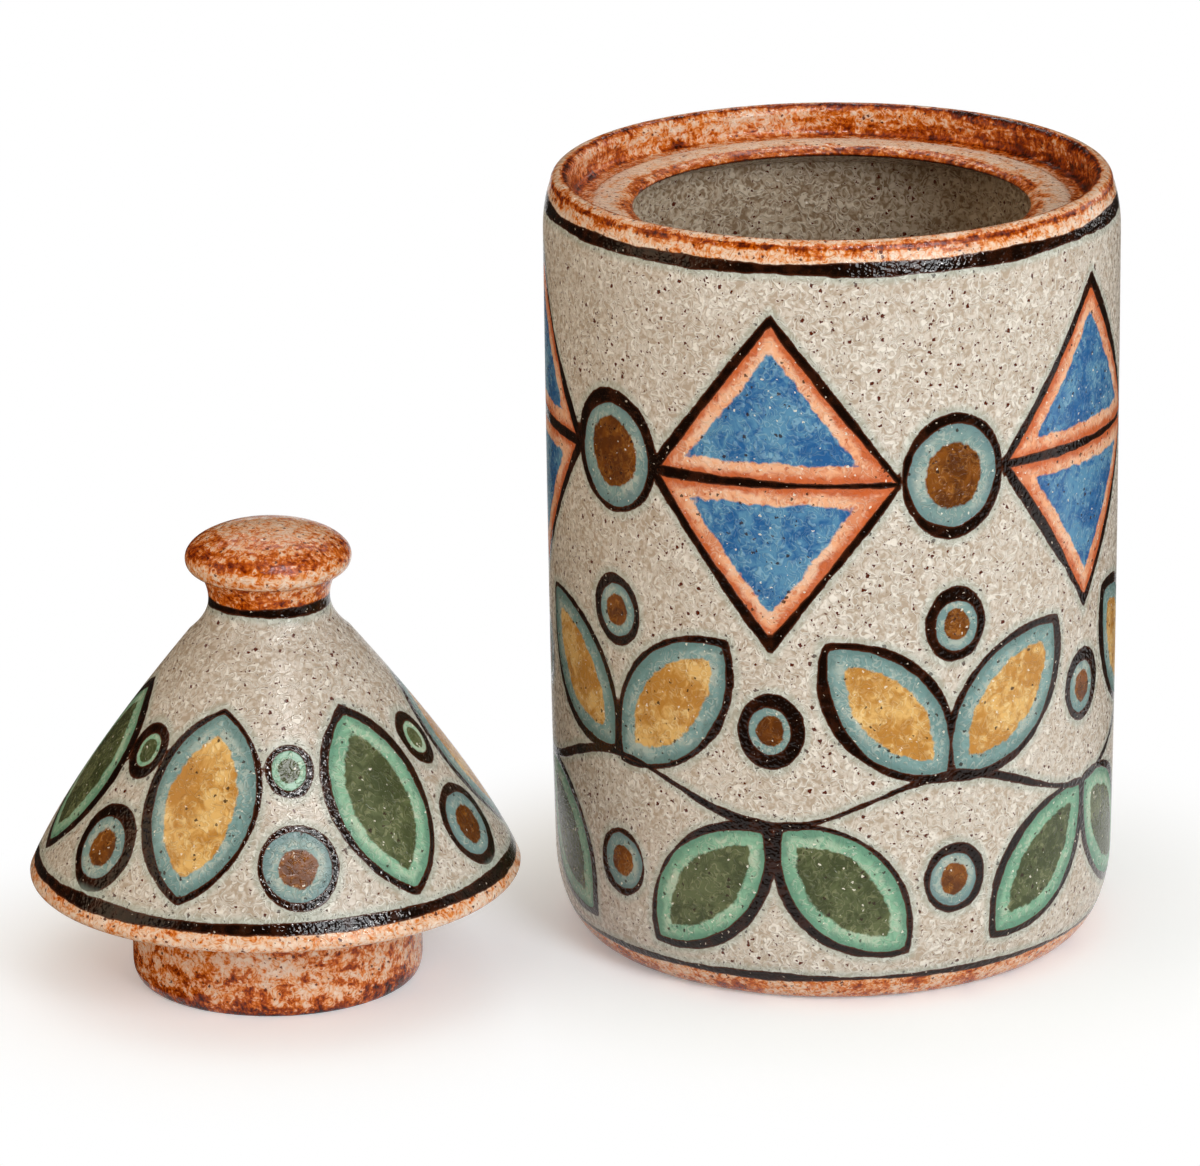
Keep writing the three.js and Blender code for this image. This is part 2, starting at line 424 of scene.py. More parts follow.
full = between(brushed, noise(brushed, spot, 210.0, 3.0), 0.34, 0.54, 0.78, 1.0)
heart = sums(brushed, "MULTIPLY", between(brushed, away, 0.2, -0.7), full)
ink = mixed(brushed, heart, shade(84, 40, 20), shade(18, 6, 2))
# Pale dots in the ink are painted glints.
glint_dots = use(brushed, specks, Scale=500.0, Size=0.26, Share=0.6)
ink = mixed(brushed, sums(brushed, "MULTIPLY", glint_dots["Speck"], 0.75), ink, shade(206, 196, 180))
put_out(
    brushed,
    out,
    Line=line,
    Color=ink,
    Halo=between(brushed, away, 3.0, 0.3),
    Height=sums(brushed, "MULTIPLY_ADD", grain, 0.34, sums(brushed, "MULTIPLY", line, 0.15)),
)


halo_colour = shade(150, 176, 168)
band_roughness = 0.09
line_roughness = 0.11
paint_roughness = 0.26
clay_roughness = 0.85


def finish(name, axis, oat=True, rust=None, clay=False, painted=None, tone=1.0):
    """A glazed piece's material: the glazes it has, laid where the piece is marked for them."""
    made = bpy.data.materials.new(name)
    made.use_nodes = True
    tree = made.node_tree
    shader = tree.nodes["Principled BSDF"]
    shader.inputs["Specular IOR Level"].default_value = 0.3

    def mark(word):
        return place(tree, "ShaderNodeAttribute", attribute_name=word).outputs["Fac"]

    # A tone below 1 darkens a piece's oatmeal as painted shade: a darker copy of the same glaze.
    def toned(*colour):
        return (*(part * tone for part in shade(*colour)[:3]), 1.0)

    if oat:
        lined = mark("lined")
        # The lining's colours are darker than the outside's: partly its own duller glaze, partly painted
        # shade for the jar's inside.
        body = use(
            tree,
            oatmeal,
            Light=mixed(tree, lined, toned(208, 198, 186), shade(194, 175, 151)),
            Dark=mixed(tree, lined, toned(175, 158, 139), shade(138, 114, 89)),
            Ridge=mixed(tree, lined, toned(232, 225, 214), shade(220, 204, 182)),
        )
        colour, rough, height = body["Color"], body["Roughness"], body["Height"]
    if painted:
        colour, rough, height = painted(tree, mark, colour, rough, height)
    if rust:
        mottle, streak = rust
        coat = use(tree, salmon, Thin=mark("thin"), Axis=(*axis, 0), Mottle=mottle, Streak=streak)
    if rust and oat:
        edge = between(tree, mark("salmon"), -0.3, 0.3)
        colour = mixed(tree, edge, colour, coat["Color"])
        rough = blended(tree, edge, rough, coat["Roughness"])
        height = blended(tree, edge, height, coat["Height"])
    elif rust:
        colour, rough, height = coat["Color"], coat["Roughness"], coat["Height"]

    band = use(tree, brushed, Distance=mark("band"))
    if oat:
        tint = between(tree, mark("salmon"), 0.0, -0.5, 0.0, 0.4)
        tint = sums(tree, "MULTIPLY", band["Halo"], tint)
        colour = mixed(tree, tint, colour, halo_colour)
    colour = mixed(tree, band["Line"], colour, band["Color"])
    rough = blended(tree, band["Line"], rough, band_roughness)
    height = blended(tree, band["Line"], height, band["Height"])

    if clay:
        spot = place(tree, "ShaderNodeTexCoord").outputs["Object"]
        stops = [(0.3, shade(142, 112, 86)), (0.7, shade(184, 152, 122))]
        bare_clay = ramp(tree, noise(tree, spot, 600.0, 3.0), stops)
        colour = mixed(tree, mark("bare"), colour, bare_clay)
        rough = blended(tree, mark("bare"), rough, clay_roughness)

    bump = place(tree, "ShaderNodeBump", {"Height": height, "Distance": MM})
    tree.links.new(colour, shader.inputs["Base Color"])
    tree.links.new(rough, shader.inputs["Roughness"])
    tree.links.new(bump.outputs[0], shader.inputs["Normal"])
    return made


jar_foot = turned(
    "jar_foot",
    [
        stretch(straight((0, 0), (wiped_radius, 0), 6), "bare"),
        stretch(straight((wiped_radius, 0), (foot_middle[0], 0), 4), "salmon", (0.9, 0.6)),
        stretch(arc(*foot_middle, foot_draw, foot_rise, -90, foot_seam, 16), "outer", (0.52, 0.36)),
        stretch(straight((foot_radius - 2, floor_thickness), (0, floor_thickness), 8)[1:], "lined"),
    ],
    jar_axis,
    jar_turns,
    jar_dent,
    [foot_band],
)
jar_foot.data.materials.append(finish("foot_glaze", jar_axis, oat=False, rust=(1.0, 0.8), clay=True))
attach(jar_foot, "jar")
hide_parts("jar_base")


# The jar's wall is thrown in one pull, a little slimmer at the foot. Outside it is oatmeal glaze with
# a row of split lozenges and roundels over a running stem with leaf sprays, drawn in dark oxide.
belly_height = 80.0
seam_height = 215.2
wall_thickness = 7.6
cove = 7.0
inner_radius = wall_radius - wall_thickness
GLAZES = ("cobalt", "ochre", "brown", "olive")


def sweep(first, towards, last, steps):
    """Points of a fair curve from one point to another, drawn towards a third."""
    t = np.linspace(0, 1, steps + 1)[:, None]
    a, b, c = map(np.array, (first, towards, last))
    return (1 - t) ** 2 * a + 2 * t * (1 - t) * b + t ** 2 * c


def lozenge(x, y, wide, high):
    """Distance from a lozenge, negative inside; wide and high are half its sizes."""
    return (np.abs(x) * high + np.abs(y) * wide - wide * high) / math.hypot(wide, high)


def leaf(x, y, wide, high):
    """Distance from an upright almond leaf, negative inside; wide and high are half its sizes."""
    bow = (high ** 2 + wide ** 2) / (2 * wide)
    return np.maximum(np.hypot(x + bow - wide, y), np.hypot(x - bow + wide, y)) - bow


def roundel(x, y, wide, high):
    return (np.hypot(x / wide, y / high) - 1) * min(wide, high)


full_depth = 12.5


def drawing(shapes, strokes, seed, height_of):
    """What the brush leaves at each point: how deep it lies in a shape, and how far from each line.

    The distances from the lines change sign across them, so that they stay true between points.
    """
    def paint(angle, r, z, is_outer):
        draw = np.random.RandomState(seed)
        up = height_of(z)
        shape = np.full(r.shape, far_off)
        rim = np.full(r.shape, far_off)
        stroke = np.full(r.shape, far_off)
        for follow in strokes:
            stroke = follow(angle, r, up)
        glaze = np.zeros(r.shape)
        for kind, filling, where, at, wide, high, tilt in shapes:
            where = where + draw.uniform(-0.012, 0.012)
            at = at + draw.uniform(-1, 1)
            tilt = tilt + draw.uniform(-0.05, 0.05)
            wide = wide * draw.uniform(0.95, 1.05)
            turn = (angle - where + math.pi) % (2 * math.pi) - math.pi
            x = turn * r
            y = up - at
            sideways = x * math.cos(tilt) + y * math.sin(tilt)
            upwards = y * math.cos(tilt) - x * math.sin(tilt)
            apart = kind(sideways, upwards, wide, high)
            rim = np.minimum(rim, apart)
            if kind is lozenge:
                stroke = np.where(apart < 0, upwards, stroke)
                apart = np.maximum(apart, -np.abs(upwards))
            apart = apart * max(1, full_depth / min(wide, high))
            glaze = np.where(apart < shape, GLAZES.index(filling), glaze)
            shape = np.minimum(shape, apart)
        return {
            "shape": np.where(is_outer, shape, far_off),
            "glaze": glaze,
            "rim": np.where(is_outer, rim, far_off),
            "stroke": np.where(is_outer, stroke, far_off),
        }

    return paint


repeats = 5
pitch = 2 * math.pi / repeats
front = math.radians(-104)
stem_middle = 64.0
stem_swing = 7.0
leaf_spread = 0.235
jar_shapes = []
for i in range(repeats):
    here = front + i * pitch
    between_here = here + pitch / 2
    jar_shapes.append((lozenge, "cobalt", here, 162.0, 37.0, 49.0, 0.0))
    jar_shapes.append((roundel, "brown", between_here, 162.0, 15.0, 17.0, 0.0))
    for where, at in ((between_here, 116.0), (between_here, 38.0), (here, 87.0)):
        jar_shapes.append((roundel, "brown", where, at, 8.5, 9.5, 0.0))
    for side in (-1, 1):
        upper = between_here + side * leaf_spread
        lower = here + side * leaf_spread
        jar_shapes.append((leaf, "ochre", upper, 91.0, 15.0, 28.0, -side * 0.74))
        jar_shapes.append((leaf, "olive", lower, 37.0, 14.5, 27.0, side * 0.76))


def stem(angle, r, up):
    """How far a point lies above the running stem, which dips under each lozenge."""
    swing = (angle - front) * repeats
    slope = stem_swing * repeats * np.sin(swing) / r
    return (up - stem_middle + stem_swing * np.cos(swing)) / np.hypot(1, slope)


# Oatmeal glaze: satin warm grey over speckled clay, mottled, with curled ridges painted lighter along
# their tops as a painted highlight, and darker beside them as painted shade.
oatmeal, given, out = effect(
    "oatmeal_glaze",
    [
        ("Light", "Color", shade(216, 205, 187)),
        ("Dark", "Color", shade(186, 171, 149)),
        ("Ridge", "Color", shade(232, 224, 210)),
        ("Speck", "Color", shade(86, 30, 8)),
    ],
    [("Color", "Color"), ("Roughness", "Float"), ("Height", "Float")],
)
spot = place(oatmeal, "ShaderNodeTexCoord").outputs["Object"]
wrinkle = use(oatmeal, curls, Scale=300.0)
broad = noise(oatmeal, spot, 60.0, 2.0)
fine = noise(oatmeal, spot, 620.0, 2.0)
tone = sums(oatmeal, "MULTIPLY_ADD", broad, 0.3, fine)
# Darker beside the ridges: painted shade.
tone = sums(oatmeal, "MULTIPLY_ADD", wrinkle["Groove"], -0.2, tone)
ground = mixed(oatmeal, between(oatmeal, tone, 0.4, 0.8), given["Dark"], given["Light"])
# Lighter along the ridges' tops: painted highlight.
ground = mixed(oatmeal, sums(oatmeal, "MULTIPLY", wrinkle["Ridge"], 0.8), ground, given["Ridge"])
small = use(oatmeal, specks, Scale=560.0, Size=0.34, Share=1.0)
large = use(oatmeal, specks, Scale=300.0, Size=0.62, Share=0.85)
# Pale rings round the specks: painted highlight.
speck_rim_highlights = sums(oatmeal, "MAXIMUM", small["Rim"], large["Rim"])
ground = mixed(oatmeal, sums(oatmeal, "MULTIPLY", speck_rim_highlights, 0.45), ground, given["Ridge"])
dots = sums(oatmeal, "MAXIMUM", small["Speck"], large["Speck"])
ground = mixed(oatmeal, dots, ground, given["Speck"])
relief = sums(oatmeal, "MULTIPLY", wrinkle["Ridge"], 0.25)
relief = sums(oatmeal, "MULTIPLY_ADD", fine, 0.12, relief)
relief = sums(oatmeal, "MULTIPLY_ADD", dots, -0.1, relief)
satin = between(oatmeal, fine, 0.3, 0.7, 0.2, 0.34)
put_out(oatmeal, out, Color=ground, Roughness=satin, Height=relief)

# Painted shapes: a pale border and a darker heart inside each dark line, both brushed on wet.
filled, given, out = effect(
    "painted_shape",
    [
        ("Distance", "Float", 5.0),
        ("Border", "Color", shade(200, 200, 200)),
        ("Heart", "Color", shade(90, 90, 90)),
        ("Light", "Color", shade(120, 120, 120)),
        ("Ridge", "Color", shade(160, 160, 160)),
        ("Edge", "Color", shade(120, 90, 60)),
    ],
    [("Color", "Color"), ("Inside", "Float"), ("Height", "Float")],
)
spot = place(filled, "ShaderNodeTexCoord").outputs["Object"]
slow = sums(filled, "SUBTRACT", noise(filled, spot, 160.0, 1.0), 0.5)
quick = sums(filled, "SUBTRACT", noise(filled, spot, 620.0, 2.0), 0.5)
into = sums(filled, "MULTIPLY_ADD", slow, 2.4, given["Distance"])
into = sums(filled, "MULTIPLY_ADD", quick, 1.6, into)
wrinkle = use(filled, curls, Scale=340.0)
brush = noise(filled, spot, 260.0, 3.0, 0.65, 0.8)
pool = noise(filled, spot, 70.0, 1.0)
tone = sums(filled, "MULTIPLY_ADD", sums(filled, "SUBTRACT", pool, 0.5), 0.8, brush)
heart = mixed(filled, between(filled, tone, 0.36, 0.7), given["Heart"], given["Light"])
# Pale flecks along the curled ridges, in heart and border, are painted highlight.
highlight_flecks = sums(filled, "MULTIPLY", wrinkle["Ridge"], between(filled, tone, 0.3, 0.7, 0.1, 0.42))
heart = mixed(filled, highlight_flecks, heart, given["Ridge"])
cream = mixed(filled, 0.55, given["Border"], shade(240, 230, 212))
deep = mixed(filled, 0.5, given["Border"], given["Edge"])
border = mixed(filled, between(filled, tone, 0.36, 0.5), deep, given["Border"])
border = mixed(filled, between(filled, tone, 0.5, 0.7, 0.0, 0.5), border, cream)
border = mixed(filled, sums(filled, "MULTIPLY", wrinkle["Ridge"], 0.4), border, cream)
flecks = use(filled, specks, Scale=400.0, Size=0.6, Share=0.9)
border = mixed(filled, sums(filled, "MULTIPLY", flecks["Speck"], 0.65), border, given["Edge"])
rub = sums(filled, "MULTIPLY_ADD", sums(filled, "SUBTRACT", brush, 0.5), 6.0, into)
border = mixed(filled, between(filled, rub, -4.2, -1.7, 0.0, 0.9), border, given["Edge"])
colour = mixed(filled, between(filled, into, -6.5, -5.7), heart, border)
dots = use(filled, specks, Scale=340.0, Size=0.52, Share=0.9)
colour = mixed(filled, sums(filled, "MULTIPLY", dots["Speck"], 0.85), colour, shade(46, 24, 12))
# Pale dots over the paint are painted glints.
glint_dots = use(filled, specks, Scale=420.0, Size=0.36, Share=0.6)
colour = mixed(filled, sums(filled, "MULTIPLY", glint_dots["Speck"], 0.8), colour, shade(236, 230, 214))
relief = sums(filled, "MULTIPLY", wrinkle["Ridge"], 0.18)
relief = sums(filled, "MULTIPLY_ADD", brush, 0.15, relief)
within = between(filled, given["Distance"], 0.2, -0.2)
put_out(filled, out, Color=colour, Inside=within, Height=relief)

glaze_colours = {
    "cobalt": {
        "Border": shade(232, 170, 130),
        "Heart": shade(34, 90, 146),
        "Light": shade(86, 138, 172),
        "Ridge": shade(152, 190, 206),
        "Edge": shade(192, 84, 26),
    },
    "ochre": {
        "Border": shade(122, 154, 152),
        "Heart": shade(182, 126, 52),
        "Light": shade(220, 176, 106),
        "Ridge": shade(242, 220, 166),
        "Edge": shade(96, 128, 126),
    },
    "brown": {
        "Border": shade(122, 150, 146),
        "Heart": shade(88, 44, 4),
        "Light": shade(126, 70, 12),
        "Ridge": shade(176, 118, 50),
        "Edge": shade(100, 130, 132),
    },
    "olive": {
        "Border": shade(132, 176, 146),
        "Heart": shade(62, 70, 38),
        "Light": shade(90, 98, 62),
        "Ridge": shade(148, 150, 112),
        "Edge": shade(92, 140, 116),
    },
}
line_half = 1.35


def brushwork(tree, mark, colour, rough, height):
    """Lays the painted shapes and their dark lines over the oatmeal glaze."""
    share = 1 / len(GLAZES)
    which = sums(tree, "MULTIPLY_ADD", mark("glaze"), share, share / 2)

    def chosen(part):
        stops = [(i * share, glaze_colours[word][part]) for i, word in enumerate(GLAZES)]
        return ramp(tree, which, stops, "CONSTANT")

    rim = sums(tree, "ABSOLUTE", mark("rim"))
    stroke = sums(tree, "ABSOLUTE", mark("stroke"))
    nearest = sums(tree, "MINIMUM", rim, stroke)
    line = use(tree, brushed, Distance=sums(tree, "SUBTRACT", nearest, line_half))
    colour = mixed(tree, sums(tree, "MULTIPLY", line["Halo"], 0.38), colour, halo_colour)
    shape = use(
        tree,
        filled,
        Distance=mark("shape"),
        Border=chosen("Border"),
        Heart=chosen("Heart"),
        Light=chosen("Light"),
        Ridge=chosen("Ridge"),
        Edge=chosen("Edge"),
    )
    colour = mixed(tree, shape["Inside"], colour, shape["Color"])
    height = blended(tree, shape["Inside"], height, shape["Height"])
    rough = blended(tree, shape["Inside"], rough, paint_roughness)
    colour = mixed(tree, line["Line"], colour, line["Color"])
    rough = blended(tree, line["Line"], rough, line_roughness)
    height = blended(tree, line["Line"], height, line["Height"])
    return colour, rough, height


cove_middle = (inner_radius - cove, floor_thickness + 1 + cove)
wall_foot = (foot_radius, foot_rise)
wall_top = (wall_radius, seam_height)
belly = sweep(wall_foot, (wall_radius, belly_height), wall_top, 132)
jar_body = turned(
    "jar_body",
    [
        stretch(arc(*foot_middle, foot_draw, foot_rise, foot_seam, 0, 14), "outer", (0.3, 0.3)),
        stretch(belly, "outer"),
        stretch(straight((inner_radius, seam_height), (inner_radius, cove_middle[1]), 40), "lined"),
        stretch(arc(*cove_middle, cove, cove, 0, -90, 6), "lined"),
        stretch(
            straight((cove_middle[0], floor_thickness), (foot_radius - 4, floor_thickness), 2),
            "lined",
        ),
    ],
    jar_axis,
    jar_turns,
    jar_dent,
    [foot_band],
    drawing(jar_shapes, [stem], 11, lambda z: z),
)
jar_body.data.materials.append(finish("painted_wall_glaze", jar_axis, painted=brushwork))
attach(jar_body, "jar")
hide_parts("jar_wall")


# The gallery ring closes the jar in at the top: a rolled lip, a sunk ledge for the lid's edge, and a
# second, softer roll round the throat. Salmon glaze breaks to rust on the rolls and runs thick between.
jar_height = 232.4
lip_outer = 82.9
lip_round = 2.95
gallery_radius = 77.0
gallery_cove = 2.2
ledge_height = 223.2
throat_radius = 58.7
crest = (69.2, 224.0)
bead_run = 2.2
lip_middle = (gallery_radius + lip_round, jar_height - lip_round)
rim_band = (224.7, 1.9, 1)
gallery_corner = (gallery_radius - gallery_cove, ledge_height + gallery_cove)
bead_wide = crest[0] - bead_run - throat_radius
bead_fall = 2.2
bead_middle = (crest[0] - bead_run, crest[1] - bead_fall)
nose = 0.9
nose_middle = (throat_radius + nose, bead_middle[1])
under_nose = (throat_radius + 1.4 * nose, bead_middle[1] - 1.05 * nose)
slant_end = (inner_radius - 3, seam_height)
shoulder = sweep(wall_top, (wall_radius, ledge_height), (lip_outer, lip_middle[1]), 22)
gallery_wall = straight((gallery_radius, lip_middle[1]), (gallery_radius, gallery_corner[1]), 6)
ledge_foot = (crest[0] + bead_run, ledge_height)
# Painted shade: the glaze inside the lip is made thinner, so darker rust, most on the side towards +X.
painted_shade_by_angle = {
    0: 0.34, 15: 0.4, 35: 0.36, 55: 0.26, 75: 0.16, 92: 0.12,
    111: 0.02, 132: 0.04, 152: 0.2, 165: 0.2, 200: 0.12, 270: 0.1,
}
painted_shade_radii = (gallery_radius - 6, gallery_radius - 2, lip_middle[0] - 1.5, lip_middle[0] - 0.5)


def gallery_painted_shade(angle, r):
    """Painted shade inside the lip: how much thinner, so darker rust, the glaze is made, by the degrees
    round it from +X.
    """
    inside_lip = np.interp(r, painted_shade_radii, (0.0, 0.7, 1.0, 0.0))
    round_lip = np.interp(np.degrees(angle), list(painted_shade_by_angle), list(painted_shade_by_angle.values()), period=360)
    return round_lip * inside_lip


def roll(middle, wide, high, skin, parts):
    """Stretches of one glaze round a roll: each goes from angle to angle, in steps, so thin."""
    return [
        stretch(arc(*middle, wide, high, start, end, steps), skin, thin)
        for start, end, steps, thin in parts
    ]


jar_lip = turned(
    "jar_lip",
    [
        stretch(shoulder, "outer", (-0.4, 0.34)),
        *roll(lip_middle, lip_round, lip_round, "salmon", [
            (0, 14, 3, (0.38, 0.58)),
            (14, 36, 5, (0.66, 0.62)),
            (36, 50, 3, (0.5, 0.32)),
            (50, 86, 7, (0.3, 0.22)),
            (86, 100, 4, (0.28, 0.46)),
            (100, 120, 4, (0.6, 0.7)),
            (120, 150, 5, (0.56, 0.34)),
            (150, 180, 4, (0.32, 0.28)),
        ]),
        stretch(gallery_wall, "salmon", (0.24, 0.36)),
        *roll(gallery_corner, gallery_cove, gallery_cove, "salmon", [
            (0, -50, 5, (0.38, 0.5)),
            (-50, -90, 4, (0.7, 0.4)),
        ]),
        stretch(straight((gallery_corner[0], ledge_height), ledge_foot, 5), "salmon", (0.38, 0.34)),
        stretch(straight(ledge_foot, crest, 4), "salmon", (0.6, -0.1)),
        stretch(straight(crest, (bead_middle[0], crest[1]), 3), "salmon", (-0.1, 0.0)),
        *roll(bead_middle, bead_wide, bead_fall, "salmon", [
            (90, 120, 8, (0.02, 0.14)),
            (120, 134, 4, (0.24, 0.54)),
            (134, 180, 8, (0.5, 0.56)),
        ]),
        stretch(arc(*nose_middle, nose, nose, 180, 240, 5), "salmon", (0.7, 1.2)),
        stretch(straight(under_nose, slant_end, 6), "lined"),
        stretch(straight(slant_end, (inner_radius, seam_height), 2), "lined"),
        stretch(straight((inner_radius, seam_height), (wall_radius - 0.01, seam_height), 2)[1:], "lined"),
    ],
    jar_axis,
    jar_turns,
    jar_dent,
    [rim_band],
    # painted shade inside the lip
    painted_shade=gallery_painted_shade,
)
jar_lip.data.materials.append(finish("lip_glaze", jar_axis, rust=(0.85, 0.95)))
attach(jar_lip, "jar")
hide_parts("gallery_ring")


# The lid's shell is a hollow thrown cone with a rounded edge. Its edge is salmon below a dark band;
# above, on oatmeal, stand a ring of leaves and small roundels.
lid_axis = (-0.1667, -0.0395)
lid_turns = 320
lid_dent = unevenness(8, 0.5)
collar_height = 30.8
collar_radius = 43.3
bore_radius = 37.1
flange_radius = 72.9
flange_round = 2.6
cone_start = (71.5, 36.5)
flare_start = (24.8, 104.6)
knob_seat = 116.0
neck_radius = 18.1
shell_thickness = 6.5
shelf_height = 37.1
shelf_cove = 4.0
hollow_top = 104.0
hollow_flat = 12
bulge_at = 0.38
bulge_out = 5.1
cone_bulge = tuple(a + (b - a) * bulge_at for a, b in zip(cone_start, flare_start))
cone_bulge = (cone_bulge[0] + bulge_out, cone_bulge[1])
cone_lean = math.atan2(cone_start[0] - flare_start[0], flare_start[1] - cone_start[1])
shelf_radius = cone_start[0] - shell_thickness - shelf_cove * math.tan(cone_lean)
shelf_corner = (shelf_radius - shelf_cove, shelf_height + shelf_cove)
flange_corner = (flange_radius - flange_round, collar_height + flange_round)
edge_band = (37.9, 1.6, -1)
neck_band = (116.1, 1.6, 1)


def inward(point):
    """The point of the hollow that lies straight behind a point of the cone."""
    return (
        point[0] - shell_thickness * math.cos(cone_lean),
        point[1] - shell_thickness * math.sin(cone_lean),
    )


hollow_foot = (shelf_radius, shelf_corner[1])
hollow = sweep(inward(flare_start), inward(cone_bulge), hollow_foot, 30)
flare_towards = (neck_radius, (knob_seat + flare_start[1]) / 2)
flare = sweep(flare_start, flare_towards, (neck_radius, knob_seat), 12)

lid_shapes = []
lid_repeats = 6
lid_front = math.radians(-112)
for i in range(lid_repeats):
    here = lid_front + i * 2 * math.pi / lid_repeats
    between_here = here + math.pi / lid_repeats
    filling = ("ochre", "olive")[i % 2]
    lid_shapes.append((leaf, filling, here, 37.0, 16.5, 29.0, 0.0))
    lid_shapes.append((roundel, "brown", between_here, 20.0, 11.0, 12.0, 0.0))
    lid_shapes.append((roundel, "olive", between_here, 50.0, 6.0, 7.0, 0.0))

lid_shell = turned(
    "lid_shell",
    [
        stretch(straight((0, hollow_top), (hollow_flat, hollow_top), 2), "lined"),
        stretch(hollow, "lined"),
        stretch(arc(*shelf_corner, shelf_cove, shelf_cove, 0, -90, 6), "lined"),
        stretch(straight((shelf_corner[0], shelf_height), (bore_radius, shelf_height), 6), "lined"),
        stretch(straight((bore_radius, shelf_height), (bore_radius, collar_height), 4), "lined"),
        stretch(
            straight((bore_radius, collar_height), (flange_corner[0], collar_height), 16),
            "salmon",
            (0.6, 0.3),
        ),
        stretch(arc(*flange_corner, flange_round, flange_round, -90, 0, 8), "salmon", (0.3, 0.2)),
        stretch(straight((flange_radius, flange_corner[1]), cone_start, 4), "outer", (0.2, 0.3)),
        stretch(sweep(cone_start, cone_bulge, flare_start, 70), "outer", (0.5, 0.5)),
        stretch(flare, "outer", (0.5, 0.6)),
        stretch(straight((neck_radius - 2, knob_seat), (0, knob_seat), 3), "lined"),
    ],
    lid_axis,
    lid_turns,
    lid_dent,
    [edge_band, neck_band],
    drawing(lid_shapes, [], 5, lambda z: (z - cone_start[1]) / math.cos(cone_lean)),
)
# The lid's oatmeal is darkened by its tone as painted shade.
lid_shell.data.materials.append(
    finish("painted_lid_glaze", lid_axis, rust=(1.0, 0.5), painted=brushwork, tone=0.93)
)
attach(lid_shell, "lid")
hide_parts("lid_cone")


# The collar under the lid is a plain turned ring that drops into the jar's throat. Its salmon glaze
# is dabbed on thin, so that rust and pale pink lie side by side all over it. Its top, just under the
# flange, is painted dark rust as the flange's shadow.
collar_foot_rise = 5.5
collar_foot_draw = 2.2
collar_inner_round = 2.0
collar_foot = arc(
    collar_radius - collar_foot_draw, collar_foot_rise, collar_foot_draw, collar_foot_rise, -90, 0, 10
)
inner_foot_middle = (bore_radius + collar_inner_round, collar_inner_round)
inner_foot = arc(*inner_foot_middle, collar_inner_round, collar_inner_round, 180, 270, 6)
flange_shadow_top = (collar_radius, collar_height - 2)

lid_ring = turned(
    "lid_ring",
    [
        stretch([(inner_foot_middle[0], 0)], "salmon", (0.8, 0.8)),
        stretch(collar_foot, "salmon", (0.85, 0.5)),
        stretch(straight((collar_radius, collar_foot_rise), flange_shadow_top, 22), "salmon", (0.42, 0.38)),
        # Painted shadow of the flange: the collar's top turns dark rust.
        stretch(straight(flange_shadow_top, (collar_radius, collar_height), 3), "salmon", (0.45, 0.95)),
        stretch(
            straight((collar_radius - 1, collar_height), (bore_radius, collar_height), 3),
            "salmon",
            (0.9, 0.9),
        ),
        stretch(
            straight((bore_radius, collar_height), (bore_radius, collar_inner_round), 12)[1:],
            "salmon",
            (0.5, 0.5),
        ),
        stretch(inner_foot, "salmon", (0.5, 0.8)),
    ],
    lid_axis,
    lid_turns,
    lid_dent,
    [],
)
lid_ring.data.materials.append(finish("collar_glaze", lid_axis, oat=False, rust=(2.1, 0.5)))
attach(lid_ring, "lid")
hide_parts("lid_collar")


# The knob is a crowned disc on a waisted neck, thrown on the lid's top. Its crown is mottled salmon and
# rust and pale under its edge, and the neck runs rust orange down to a dark band.
neck_height = 8.0
neck_flare = 2.4
knob_radius = 24.7
knob_crown = 9.7
knob_under = 4.5
knob_crease = 2.9
widest = knob_seat + neck_height + knob_under
crease_height = knob_seat + neck_height
neck_towards = (neck_radius, knob_seat + neck_height / 2)
neck = sweep((neck_radius, knob_seat), neck_towards, (neck_radius + neck_flare, crease_height), 12)
under_towards = (knob_radius, crease_height + knob_under / 3)
under = sweep((knob_radius - knob_crease, crease_height), under_towards, (knob_radius, widest), 8)
knob_turns = 192

lid_grip = turned(
    "lid_grip",
    [
        stretch(straight((0, knob_seat), (neck_radius - 2, knob_seat), 3), "lined"),
        stretch(neck, "outer", (0.5, 0.56)),
        stretch(under[:3], "outer", (0.8, 0.34)),
        stretch(under[2:], "outer", (0.34, 0.28)),
        *roll((0, widest), knob_radius, knob_crown, "outer", [
            (0, 14, 4, (0.34, 0.56)),
            (14, 36, 8, (0.6, 0.52)),
            (36, 60, 6, (0.44, 0.34)),
            (60, 88, 10, (0.34, 0.28)),
        ]),
        stretch([(0, widest + knob_crown)], "outer", (0.4, 0.4)),
    ],
    lid_axis,
    knob_turns,
    lid_dent,
    [neck_band],
)
lid_grip.data.materials.append(finish("knob_glaze", lid_axis, oat=False, rust=(0.7, 0.6)))
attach(lid_grip, "lid")
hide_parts("lid_knob")


# A white table that runs on past the picture's edges. It keeps the soft shadows round the jar and the
# lid. What is seen of it there is lifted a little, and away from the pots it is plain white.
table_half = 20.0
feet = (((*jar_axis, 0.0), 0.085), ((*lid_axis, 0.0), 0.045))
shadow_reach = 0.09
table_colour = (0.86, 0.91, 0.975, 1)
table_lift = 0.25
table_mesh = bpy.data.meshes.new("table")
table_mesh.from_pydata(
    [(x * table_half, y * table_half, 0) for x, y in ((-1, -1), (1, -1), (1, 1), (-1, 1))],
    [],
    [(0, 1, 2, 3)],
)
table = bpy.data.objects.new("table", table_mesh)
bpy.context.scene.collection.objects.link(table)
table_paint = bpy.data.materials.new("table_paint")
table_paint.use_nodes = True
tree = table_paint.node_tree
for node in list(tree.nodes):
    tree.nodes.remove(node)
card = place(tree, "ShaderNodeBsdfDiffuse", {"Color": table_colour})
rays = place(tree, "ShaderNodeLightPath").outputs
seen = sums(tree, "ADD", rays["Is Camera Ray"], rays["Is Glossy Ray"])
